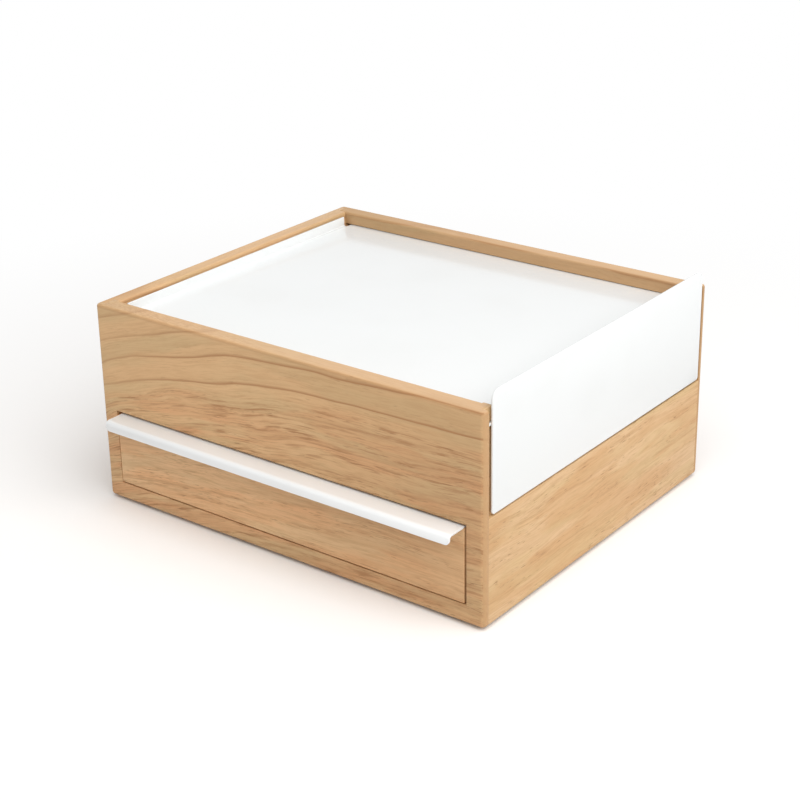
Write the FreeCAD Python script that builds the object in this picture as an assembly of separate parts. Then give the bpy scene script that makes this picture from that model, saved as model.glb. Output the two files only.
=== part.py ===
"""Ring box: a wooden case with a sliding sheet-metal lid above and a drawer below.

The frame is in millimetres with +Z up and +X to the viewer's right. The drawer opens towards -Y
and the lid slides towards +X. The origin is under the middle of the whole object, on the surface
that the box stands on.
"""
import FreeCAD, Part
import os

from FreeCAD import Vector

# ---------------------------------------------------------------- driving dimensions
# Case: four boards. The front and back boards lap over the ends of the side boards
case_width = 255.0
case_depth = 214.0
case_height = 114.5
board = 9.0                   # thickness of the left, right and back boards
front_thickness = 10.5        # thickness of the front board and of the drawer's front
corner_radius = 2.6           # upright outer corners
lap_lip = 3.7                 # thickness of the front and back boards where they lap over the sides
lap_tongue = 4.5              # thickness of the side boards' ends inside the laps
rim_radius = 1.5              # rims, inside and outside
edge_radius = 1.0             # smaller softened edges
lower_edge_radius = 2.4       # outer edge all round the bottom
foot_height = 1.5
foot_diameter = 14.0
foot_inset = 20.0             # from the case's outer faces to a foot's centre

# Panels let into the case's boards
base_low = 3.0                # height of the base's underside over the case's lower edge
base_thickness = 5.0
base_tongue = 4.0             # how far the base enters the boards
shelf_low = 57.0
shelf_thickness = 4.0
shelf_tongue = 3.0

# Drawer opening, cut through the front board
opening_inset = 10.4          # from the case's side faces
opening_low = 10.3
opening_high = 54.0

# Lid: a plate with an upturned left edge, welded to a side panel that hangs in a pocket
sheet = 1.2                   # thickness of all the painted sheet metal
lid_plate_top = 106.8         # over the case's lower edge
lid_plate_engagement = 2.9    # how far the plate's edges run in the front and back boards
lid_flange_top = 112.4
lid_flange_bend = 2.0         # outside radius
lid_flange_inset = 3.7        # from the front and back boards to the flange's ends
lid_rest_gap = 0.8            # from the flange to the left board
lid_travel = 155.0
groove_below = 0.15           # running clearance under the plate
groove_above = 0.45
groove_side = 0.3             # beyond the plate's edges
groove_start = 0.5            # how far the grooves start to the left of the lid's flange

panel_low = 59.5
panel_high = 123.4
panel_front_inset = 6.8       # from the case's front face to the panel's front edge
panel_back_inset = 4.8
panel_top_radius = 5.5
panel_bottom_radius = 1.8
pocket_low = 58.4             # the pocket runs from lap to lap
pocket_depth = 2.5
ear_gap = 0.25                # from the plate's widened end to the pocket's front and back walls
ear_width = 1.0

# Stops under the lid, which meet the right board when the lid is out
stop_diameter = 8.0
stop_height = 4.0
stop_inset = 9.0              # from the inner faces of the front and back boards

# Drawer
drawer_width = 232.6
drawer_shift = -0.55          # the drawer rests nearer to the opening's left edge
drawer_front_low = 11.0
drawer_front_high = 51.5
drawer_side = 8.0             # thickness of the drawer's sides and back
drawer_low = 10.6
drawer_side_high = 49.9
drawer_back_high = 55.4       # stands above the opening's head, so that the stop can catch it
drawer_end_gap = 0.3          # behind the closed drawer
drawer_rabbet = 5.0           # how far the sides are let into the drawer's front
drawer_travel = 150.0
bottom_low = 13.6
bottom_thickness = 3.0
bottom_tongue = 4.0
drawer_edge_radius = 0.4
runner_width = 11.0
runner_high = 10.4
drawer_stop_width = 40.0
drawer_stop_thickness = 8.0
drawer_stop_low = 50.8
stop_clearance = 0.3

# Drawer pull: a bent strip over the top edge of the drawer's front
pull_left = -114.0
pull_right = 115.3
pull_reach = 11.8             # from the case's face to the pull's lip
pull_lip_low = 47.2
pull_bend = 2.4               # outside radius over the lip
pull_rear_bend = 1.8
pull_lip_corner = 2.5
pull_leg_low = 37.0
pull_leg_half = 104.0         # the leg behind the drawer's front stays between the drawer's sides
screw_spacing = 80.0
screw_height = 42.5
screw_head_diameter = 5.6
screw_head_height = 1.7
screw_head_chamfer = 0.6
screw_shank_diameter = 2.8
screw_length = 7.0
screw_hole_diameter = 3.4
pilot_overrun = 0.5           # how far a pilot hole runs past its screw's tip
driver_cross = (3.0, 0.7, 0.9)  # length, width and depth of a screw's cross recess

# Linen-covered lining and padding
card = 1.6                    # linen-covered lining card
card_edge = 0.6
tray_wall_top = 98.0
divider = 4.0
divider_edge = 1.5
long_divider_x = 6.0
ring_divider_y = 72.0         # from the case's front face
cross_divider_y = 106.0
long_divider_top = 96.0
short_divider_top = 93.0
roll_count = 5
roll_gap = 0.4
roll_straight = 16.0          # height of a ring roll's flat sides

# ---------------------------------------------------------------- places that follow from them
left = -case_width / 2
right = case_width / 2
front = (pull_reach - case_depth) / 2    # the case's front face, with the pull in front of it
back = front + case_depth
floor = foot_height                      # the case's lower edge
top = floor + case_height

inner_left = left + board
inner_right = right - board
inner_front = front + front_thickness
inner_back = back - board

plate_high = floor + lid_plate_top
plate_low = plate_high - sheet
plate_front = inner_front - lid_plate_engagement
plate_back = inner_back + lid_plate_engagement
lid_left = inner_left + lid_rest_gap
panel_face = right - sheet               # the side panel's inner face
pocket_floor = right - pocket_depth
lap_front = front + lap_lip              # where the side boards' ends meet the laps
lap_back = back - lap_lip

base_high = floor + base_low + base_thickness
shelf_high = floor + shelf_low + shelf_thickness

drawer_left = drawer_shift - drawer_width / 2
drawer_right = drawer_shift + drawer_width / 2
drawer_inner_left = drawer_left + drawer_side
drawer_inner_right = drawer_right - drawer_side
drawer_back = inner_back - drawer_end_gap
drawer_back_face = drawer_back - drawer_side
pull_high = floor + drawer_front_high + sheet

tray_left = inner_left + card
tray_right = inner_right - card
tray_front = inner_front + card
tray_back = inner_back - card
tray_floor = shelf_high + card

over = 1.0                               # how far a cutting tool passes the face it cuts


# ---------------------------------------------------------------- small helpers
def block(x, y, z):
    """Box between a low and a high value on each axis."""
    return Part.makeBox(x[1] - x[0], y[1] - y[0], z[1] - z[0], Vector(x[0], y[0], z[0]))


def fuse(shapes):
    """One solid from touching shapes, with no seams left on shared faces."""
    return shapes[0].multiFuse(shapes[1:]).removeSplitter()


def edges_where(shape, test):
    """Edges whose box of extents passes the test."""
    return [edge for edge in shape.Edges if test(edge.BoundBox)]


def round_edges(shape, radius, test):
    """Shape with its edges that pass the test rounded."""
    return shape.makeFillet(radius, edges_where(shape, test))


def near(value, target):
    """True when two lengths agree within a hundredth of a millimetre."""
    return abs(value - target) < 0.01


def at_height(z):
    """Test for edges that lie at one height."""
    return lambda b: near(b.ZMin, z) and near(b.ZMax, z)


def upright(b):
    """Test for edges that run along Z."""
    return near(b.XLength, 0) and near(b.YLength, 0)


def between_walls(b):
    """Test for edges on the walls' inner faces."""
    within_x = b.XMin > inner_left - over and b.XMax < inner_right + over
    return within_x and b.YMin > inner_front - over and b.YMax < inner_back + over


def export(name, shape):
    """Write one node's solids to its STEP file."""
    if not shape.isValid():
        raise ValueError(name + " is not a valid shape")
    shape.exportStep(os.path.join("parts", name + ".step"))
    print(name, len(shape.Solids), "solid(s)", round(shape.Volume / 1000, 2), "cm3")


def bent_strip(corners, radii, start, length, direction):
    """Bent sheet of even thickness.

    The corners are points on the sheet's outer face, in a plane square to the direction, and each
    corner between the ends has its outside bend radius. The sheet lies to the right of the path,
    as seen with the direction pointing at the viewer.
    """
    edges = []
    here = corners[0]
    for corner, following, radius in zip(corners[1:-1], corners[2:], radii):
        toward = (corner - here).normalize()
        away = (following - corner).normalize()
        bend_start = corner - toward * radius
        bend_end = corner + away * radius
        centre = bend_start + away * radius
        middle = centre - (away - toward).normalize() * radius
        edges.append(Part.LineSegment(here, bend_start).toShape())
        edges.append(Part.Arc(bend_start, middle, bend_end).toShape())
        here = bend_end
    edges.append(Part.LineSegment(here, corners[-1]).toShape())
    section = Part.Wire(edges).makeOffset2D(sheet, join=0, fill=True, openResult=True)
    section.translate(direction * start)
    return section.extrude(direction * length)


# ---------------------------------------------------------------- case
def case_ring():
    """The case's four walls as one ring, with its corners and rims rounded."""
    outer = block((left, right), (front, back), (floor, top))
    outer = round_edges(outer, corner_radius, upright)
    hollow = block((inner_left, inner_right), (inner_front, inner_back), (floor - over, top + over))
    ring = outer.cut(hollow)
    ring = round_edges(ring, rim_radius, at_height(top))
    ring = round_edges(ring, edge_radius, lambda b: at_height(floor)(b) and between_walls(b))
    return round_edges(ring, lower_edge_radius, lambda b: at_height(floor)(b) and not between_walls(b))


def board_plans():
    """Plan of each wall board. A tongue on each end of the side boards enters the laps."""
    lap_left, lap_right = left + lap_tongue, right - lap_tongue
    return {
        "front_board": [
            (left, front), (right, front), (right, lap_front), (lap_right, lap_front),
            (lap_right, inner_front), (lap_left, inner_front), (lap_left, lap_front), (left, lap_front)],
        "right_board": [
            (right, lap_front), (right, lap_back), (lap_right, lap_back), (lap_right, inner_back),
            (inner_right, inner_back), (inner_right, inner_front), (lap_right, inner_front),
            (lap_right, lap_front)],
        "back_board": [
            (right, back), (left, back), (left, lap_back), (lap_left, lap_back),
            (lap_left, inner_back), (lap_right, inner_back), (lap_right, lap_back), (right, lap_back)],
        "left_board": [
            (left, lap_back), (left, lap_front), (lap_left, lap_front), (lap_left, inner_front),
            (inner_left, inner_front), (inner_left, inner_back), (lap_left, inner_back),
            (lap_left, lap_back)],
    }


def upright_prism(plan):
    """Prism over a plan, a little taller than the case."""
    face = Part.Face(Part.makePolygon([Vector(x, y, floor - over) for x, y in plan + plan[:1]]))
    return face.extrude(Vector(0, 0, case_height + 2 * over))


def panel_in_walls(low, thickness, tongue):
    """Flat panel between the walls, with a tongue all round that enters them."""
    return block(
        (inner_left - tongue, inner_right + tongue),
        (inner_front - tongue, inner_back + tongue),
        (floor + low, floor + low + thickness),
    )


def lid_slot():
    """Space that the lid's plate runs through: a groove front and back that runs out at the right."""
    return block(
        (lid_left - groove_start, right + over),
        (plate_front - groove_side, plate_back + groove_side),
        (plate_low - groove_below, plate_high + groove_above),
    )


def panel_pocket():
    """Pocket milled into the right wall, so that the side panel hangs flush with the wood."""
    return block((pocket_floor, right + over), (lap_front, lap_back), (floor + pocket_low, top + over))


def case_boards():
    """Front, back, left and right boards, lapped where they meet and grooved for the panels."""
    ring = case_ring()
    panels = [
        panel_in_walls(base_low, base_thickness, base_tongue),
        panel_in_walls(shelf_low, shelf_thickness, shelf_tongue),
    ]
    boards = {name: ring.common(upright_prism(plan)).cut(panels) for name, plan in board_plans().items()}

    drawer_opening = block(
        (left + opening_inset, right - opening_inset),
        (front - over, inner_front + over),
        (floor + opening_low, floor + opening_high),
    )
    boards["front_board"] = boards["front_board"].cut([drawer_opening, lid_slot()])
    boards["back_board"] = boards["back_board"].cut(lid_slot())

    way_out = block(
        (inner_right - over, right + over),
        (inner_front, inner_back),
        (plate_low - groove_below, top + over),
    )
    boards["right_board"] = boards["right_board"].cut([lid_slot(), way_out, panel_pocket()])
    return boards


def rubber_feet():
    """Four round rubber feet, stuck under the base and standing a little below the boards."""
    feet = []
    for x in (left + foot_inset, right - foot_inset):
        for y in (front + foot_inset, back - foot_inset):
            feet.append(Part.makeCylinder(foot_diameter / 2, floor + base_low, Vector(x, y, 0)))
    return Part.makeCompound(feet)


def runner(x):
    """Low strip on the base that one side of the drawer slides on."""
    return block(x, (inner_front, inner_back), (base_high, floor + runner_high))


def drawer_stop():
    """Block under the shelf that catches the drawer's back when the drawer is out."""
    face = drawer_back_face - drawer_travel - stop_clearance
    return block(
        (-drawer_stop_width / 2, drawer_stop_width / 2),
        (face - drawer_stop_thickness, face),
        (floor + drawer_stop_low, floor + shelf_low),
    )


# ---------------------------------------------------------------- tray over the shelf
def lining_card(x, y, z):
    """Linen-covered card with its upper edges softened."""
    return round_edges(block(x, y, z), card_edge, at_height(z[1]))


def tray_linings():
    """Cards on the tray's floor and its four walls."""
    wall = (shelf_high, floor + tray_wall_top)
    between = (tray_front, tray_back)
    return {
        "tray_floor_lining": block((tray_left, tray_right), between, (shelf_high, tray_floor)),
        "tray_front_lining": lining_card((inner_left, inner_right), (inner_front, tray_front), wall),
        "tray_back_lining": lining_card((inner_left, inner_right), (tray_back, inner_back), wall),
        "tray_left_lining": lining_card((inner_left, tray_left), between, wall),
        "tray_right_lining": lining_card((tray_right, inner_right), between, wall),
    }


def tray_divider(x, y, height):
    """Padded divider that stands on the tray's floor, with a rounded upper edge."""
    z = (tray_floor, floor + height)
    long_upper = lambda b: at_height(z[1])(b) and max(b.XLength, b.YLength) > divider + 1
    return round_edges(block(x, y, z), divider_edge, long_upper)


def tray_dividers():
    """One divider from front to back, and one across on each side of it."""
    half = divider / 2
    ring_y = front + ring_divider_y
    cross_y = front + cross_divider_y
    return {
        "long_divider": tray_divider(
            (long_divider_x - half, long_divider_x + half), (tray_front, tray_back), long_divider_top),
        "ring_divider": tray_divider(
            (tray_left, long_divider_x - half), (ring_y - half, ring_y + half), short_divider_top),
        "cross_divider": tray_divider(
            (long_divider_x + half, tray_right), (cross_y - half, cross_y + half), short_divider_top),
    }


def ring_roll(y, depth):
    """Padded roll with a half-round top. Rings are pushed down between it and its neighbours."""
    radius = depth / 2
    shoulder = tray_floor + roll_straight
    x = tray_left + roll_gap
    foot_front = Vector(x, y, tray_floor)
    foot_back = Vector(x, y + depth, tray_floor)
    shoulder_front = Vector(x, y, shoulder)
    shoulder_back = Vector(x, y + depth, shoulder)
    crown = Vector(x, y + radius, shoulder + radius)
    outline = Part.Wire([
        Part.LineSegment(foot_back, foot_front).toShape(),
        Part.LineSegment(foot_front, shoulder_front).toShape(),
        Part.Arc(shoulder_front, crown, shoulder_back).toShape(),
        Part.LineSegment(shoulder_back, foot_back).toShape(),
    ])
    length = long_divider_x - divider / 2 - tray_left - 2 * roll_gap
    return Part.Face(outline).extrude(Vector(length, 0, 0))


def ring_rolls():
    """A row of rolls from the ring divider to the back of the tray."""
    start = front + ring_divider_y + divider / 2
    pitch = (tray_back - start) / roll_count
    rolls = {}
    for index in range(roll_count):
        y = start + index * pitch + roll_gap / 2
        rolls["ring_roll_" + str(index + 1)] = ring_roll(y, pitch - roll_gap)
    return rolls


# ---------------------------------------------------------------- lid
def lid_plate():
    """Flat plate with an upturned left edge, notched beside the bend, and an ear at each right corner."""
    corners = [
        Vector(lid_left, 0, floor + lid_flange_top),
        Vector(lid_left, 0, plate_low),
        Vector(panel_face, 0, plate_low),
    ]
    plate = bent_strip(corners, [lid_flange_bend], plate_front, plate_back - plate_front, Vector(0, 1, 0))
    ears = block(
        (panel_face - ear_width, panel_face),
        (lap_front + ear_gap, lap_back - ear_gap),
        (plate_low, plate_high),
    )
    notch_end = lid_left + lid_flange_bend + sheet
    flange_front = inner_front + lid_flange_inset
    flange_back = inner_back - lid_flange_inset
    notches = [
        block((lid_left - over, notch_end), y, (plate_low - over, top))
        for y in ((plate_front - over, flange_front), (flange_back, plate_back + over))
    ]
    return fuse([plate, ears]).cut(notches)


def lid_side_panel():
    """Panel that hangs flush in the right wall and stands up above the rim as the lid's grip."""
    panel = block(
        (panel_face, right),
        (front + panel_front_inset, back - panel_back_inset),
        (floor + panel_low, floor + panel_high),
    )
    across = lambda z: lambda b: at_height(z)(b) and near(b.YLength, 0)
    panel = round_edges(panel, panel_top_radius, across(floor + panel_high))
    return round_edges(panel, panel_bottom_radius, across(floor + panel_low))


def lid_stops():
    """Two round stops under the plate, which meet the right wall when the lid is out."""
    x = inner_right - stop_clearance - lid_travel - stop_diameter / 2
    z = plate_low - stop_height
    return Part.makeCompound([
        Part.makeCylinder(stop_diameter / 2, stop_height, Vector(x, y, z))
        for y in (inner_front + stop_inset, inner_back - stop_inset)
    ])


# ---------------------------------------------------------------- drawer
def drawer_bottom():
    """Thin panel let into all four sides of the drawer."""
    return block(
        (drawer_inner_left - bottom_tongue, drawer_inner_right + bottom_tongue),
        (inner_front - bottom_tongue, drawer_back_face + bottom_tongue),
        (floor + bottom_low, floor + bottom_low + bottom_thickness),
    )


def screw_places():
    """Points on the pull's leg where the screws' heads seat, left to right."""
    face = inner_front + sheet
    return [Vector(drawer_shift + step * screw_spacing, face, floor + screw_height) for step in (-1, 0, 1)]


def drawer_front():
    """Solid front with a rabbet behind each end for the drawer's sides and pilot holes for the pull."""
    shape = block(
        (drawer_left, drawer_right),
        (front, inner_front),
        (floor + drawer_front_low, floor + drawer_front_high),
    )
    face_edges = lambda b: near(b.YMin, front) and near(b.YMax, front)
    rear_head = lambda b: at_height(floor + drawer_front_high)(b) and near(b.YMin, inner_front)
    shape = round_edges(shape, drawer_edge_radius, face_edges)
    shape = round_edges(shape, edge_radius, rear_head)
    rabbet_face = inner_front - drawer_rabbet
    rabbets = [
        block(x, (rabbet_face, inner_front + over), (floor, top))
        for x in ((drawer_left - over, drawer_inner_left), (drawer_inner_right, drawer_right + over))
    ]
    pilots = [
        Part.makeCylinder(screw_shank_diameter / 2, screw_length - sheet + pilot_overrun,
                          place - Vector(0, sheet, 0), Vector(0, -1, 0))
        for place in screw_places()
    ]
    return shape.cut(rabbets + pilots + [drawer_bottom()])


def drawer_sides():
    """Left and right sides, which run from the rabbets to the drawer's back."""
    sides = {}
    for name, x in (("drawer_left_side", (drawer_left, drawer_inner_left)),
                    ("drawer_right_side", (drawer_inner_right, drawer_right))):
        side = block(
            x, (inner_front - drawer_rabbet, drawer_back), (floor + drawer_low, floor + drawer_side_high))
        upper = lambda b: at_height(floor + drawer_side_high)(b) and b.YLength > drawer_side + 1
        sides[name] = round_edges(side, edge_radius, upper).cut(drawer_bottom())
    return sides


def drawer_back_panel():
    """Back between the sides. It is taller than they are, so that the stop under the shelf catches it."""
    shape = block(
        (drawer_inner_left, drawer_inner_right),
        (drawer_back_face, drawer_back),
        (floor + drawer_low, floor + drawer_back_high),
    )
    return shape.cut(drawer_bottom())


def drawer_lining():
    """Linen-covered card on the drawer's bottom."""
    z = floor + bottom_low + bottom_thickness
    return block((drawer_inner_left, drawer_inner_right), (inner_front, drawer_back_face), (z, z + card))


def drawer_pull():
    """Bent strip: a lip in front, a flat top over the drawer's front and a leg screwed on behind it."""
    corners = [
        Vector(0, front - pull_reach, floor + pull_lip_low),
        Vector(0, front - pull_reach, pull_high),
        Vector(0, inner_front + sheet, pull_high),
        Vector(0, inner_front + sheet, floor + pull_leg_low),
    ]
    length = pull_right - pull_left
    pull = bent_strip(corners, [pull_bend, pull_rear_bend], pull_left, length, Vector(1, 0, 0))
    lip_corners = lambda b: (
        near(b.ZMax, floor + pull_lip_low) and near(b.XLength, 0) and b.YMax < front)
    pull = round_edges(pull, pull_lip_corner, lip_corners)
    behind = (inner_front - pull_rear_bend, inner_front + sheet + over)
    ends = [
        block(x, behind, (floor, top))
        for x in ((pull_left - over, drawer_shift - pull_leg_half),
                  (drawer_shift + pull_leg_half, pull_right + over))
    ]
    through = sheet + 2 * over
    holes = [
        Part.makeCylinder(screw_hole_diameter / 2, through, place + Vector(0, over, 0), Vector(0, -1, 0))
        for place in screw_places()
    ]
    return pull.cut(ends + holes)


def pull_screw(place):
    """Pan-head screw that holds the pull's leg to the drawer's front."""
    radius = screw_head_diameter / 2
    head = Part.makeCylinder(radius, screw_head_height, place, Vector(0, 1, 0))
    crown = place.y + screw_head_height
    rim = edges_where(head, lambda b: near(b.YMin, crown) and near(b.YMax, crown))
    head = head.makeChamfer(screw_head_chamfer, rim)
    shank = Part.makeCylinder(screw_shank_diameter / 2, screw_length, place, Vector(0, -1, 0))
    length, width, depth = driver_cross
    cut_depth = (crown - depth, crown + over)
    recess = [
        block((place.x - u / 2, place.x + u / 2), cut_depth, (place.z - v / 2, place.z + v / 2))
        for u, v in ((length, width), (width, length))
    ]
    return fuse([head, shank]).cut(recess)


def pull_screws():
    """The three screws behind the drawer's front."""
    return Part.makeCompound([pull_screw(place) for place in screw_places()])


# ---------------------------------------------------------------- all nodes
def build():
    """Every sub-part by its node's name."""
    nodes = case_boards()
    nodes["base_board"] = panel_in_walls(base_low, base_thickness, base_tongue)
    nodes["middle_shelf"] = panel_in_walls(shelf_low, shelf_thickness, shelf_tongue)
    nodes["rubber_feet"] = rubber_feet()
    nodes["left_runner"] = runner((inner_left, inner_left + runner_width))
    nodes["right_runner"] = runner((inner_right - runner_width, inner_right))
    nodes["drawer_stop"] = drawer_stop()
    nodes.update(tray_linings())
    nodes.update(tray_dividers())
    nodes.update(ring_rolls())
    nodes["lid_plate"] = lid_plate()
    nodes["lid_side_panel"] = lid_side_panel()
    nodes["lid_stops"] = lid_stops()
    nodes["drawer_front"] = drawer_front()
    nodes.update(drawer_sides())
    nodes["drawer_back"] = drawer_back_panel()
    nodes["drawer_bottom"] = drawer_bottom()
    nodes["drawer_lining"] = drawer_lining()
    nodes["drawer_pull"] = drawer_pull()
    nodes["pull_screws"] = pull_screws()
    return nodes


os.makedirs("parts", exist_ok=True)
for node_name, node_shape in build().items():
    export(node_name, node_shape)
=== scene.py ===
"""Looks of a wooden ring box with a sliding painted lid above and a drawer below.

Everything is in metres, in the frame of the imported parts: +Z up, the drawer opens towards -Y and the
lid slides towards +X. The finishes read the surface in millimetres, which suits grain and weave.
"""
import logging
import math
from dataclasses import dataclass
from enum import Enum
from typing import Union

import bmesh
import bpy
import numpy as np
from mathutils import Matrix, Vector


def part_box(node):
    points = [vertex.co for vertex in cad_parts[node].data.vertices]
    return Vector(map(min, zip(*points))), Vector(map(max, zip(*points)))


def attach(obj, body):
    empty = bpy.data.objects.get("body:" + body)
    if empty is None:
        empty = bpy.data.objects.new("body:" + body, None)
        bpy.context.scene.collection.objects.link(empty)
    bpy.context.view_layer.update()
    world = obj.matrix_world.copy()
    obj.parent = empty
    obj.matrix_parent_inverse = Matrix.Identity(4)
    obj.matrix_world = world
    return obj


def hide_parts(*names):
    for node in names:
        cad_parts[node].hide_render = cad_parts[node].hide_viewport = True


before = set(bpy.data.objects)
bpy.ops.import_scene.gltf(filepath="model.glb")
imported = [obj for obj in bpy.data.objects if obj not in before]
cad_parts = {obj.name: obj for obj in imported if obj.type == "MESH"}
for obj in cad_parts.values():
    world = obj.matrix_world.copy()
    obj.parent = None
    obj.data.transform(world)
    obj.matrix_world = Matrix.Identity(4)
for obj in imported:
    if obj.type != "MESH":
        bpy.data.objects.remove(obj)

logging.basicConfig(level=logging.INFO, format="%(message)s")
log = logging.getLogger("ring_box")

MM = 0.001
CLOTH_MAP = "cloth"
Colour = tuple[float, float, float]
Corner = tuple[float, float, float]
Span = tuple[float, float]
Number = Union[float, "Signal"]
Place = tuple[Number, Number, Number]
BLACK: Colour = (0.0, 0.0, 0.0)
WHITE: Colour = (1.0, 1.0, 1.0)


class Axis(Enum):
    """An axis, as its place in a point."""

    X = 0
    Y = 1
    Z = 2


# ---------------------------------------------------------------- shader helpers
class Signal:
    """A value socket that takes part in arithmetic. Each operation adds one Math node."""

    def __init__(self, shader: "Shader", socket: bpy.types.NodeSocket) -> None:
        """Wrap a socket.

        Args:
            shader: the material under construction.
            socket: an output socket that carries one number.
        """
        self.shader = shader
        self.socket = socket

    def _math(self, operation: str, *values: Number) -> "Signal":
        """Add a Math node.

        Args:
            operation: the node's operation.
            values: its inputs in order.

        Returns:
            The node's result.
        """
        node = self.shader.node("ShaderNodeMath", {"operation": operation}, dict(enumerate(values)))
        return Signal(self.shader, node.outputs[0])

    def __add__(self, other: Number) -> "Signal":
        """Sum."""
        return self._math("ADD", self, other)

    def __radd__(self, other: Number) -> "Signal":
        """Sum with a number on the left."""
        return self._math("ADD", other, self)

    def __sub__(self, other: Number) -> "Signal":
        """Difference."""
        return self._math("SUBTRACT", self, other)

    def __rsub__(self, other: Number) -> "Signal":
        """Difference with a number on the left."""
        return self._math("SUBTRACT", other, self)

    def __mul__(self, other: Number) -> "Signal":
        """Product."""
        return self._math("MULTIPLY", self, other)

    def __rmul__(self, other: Number) -> "Signal":
        """Product with a number on the left."""
        return self._math("MULTIPLY", other, self)

    def __truediv__(self, other: Number) -> "Signal":
        """Quotient."""
        return self._math("DIVIDE", self, other)

    def __pow__(self, other: Number) -> "Signal":
        """Power."""
        return self._math("POWER", self, other)

    def exponential(self) -> "Signal":
        """The number e raised to this value."""
        return self._math("EXPONENT", self)

    def fraction(self) -> "Signal":
        """What is left after the whole number below."""
        return self._math("FRACT", self)

    def whole(self) -> "Signal":
        """The whole number below."""
        return self._math("FLOOR", self)

    def size(self) -> "Signal":
        """The value without its sign."""
        return self._math("ABSOLUTE", self)

    def wave(self) -> "Signal":
        """Sine of the value."""
        return self._math("SINE", self)

    def most(self, other: Number) -> "Signal":
        """The larger of two values."""
        return self._math("MAXIMUM", self, other)

    def between(self, low: float, high: float) -> "Signal":
        """Smooth step from 0 to 1.

        Args:
            low: value that gives 0.
            high: value that gives 1.

        Returns:
            The eased result.
        """
        node = self.shader.node(
            "ShaderNodeMapRange",
            {"interpolation_type": "SMOOTHSTEP"},
            {"Value": self, "From Min": low, "From Max": high},
        )
        return Signal(self.shader, node.outputs[0])

    def spread(self, low: float, high: float) -> "Signal":
        """The value stretched, so that 0 becomes the low number and 1 the high one."""
        return self * (high - low) + low


@dataclass(frozen=True)
class Pattern:
    """A noise drawn out over a surface, and the span of its values over which its marks appear."""

    rates: tuple[float, float, float]    # features in a millimetre along each axis of the place
    span: Span = (0.0, 1.0)
    layers: float = 3.0                  # number of finer layers
    harshness: float = 0.5               # strength of the finer layers
    offset: float = 0.0                  # shift along the third axis that sets it apart from a like one


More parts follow.
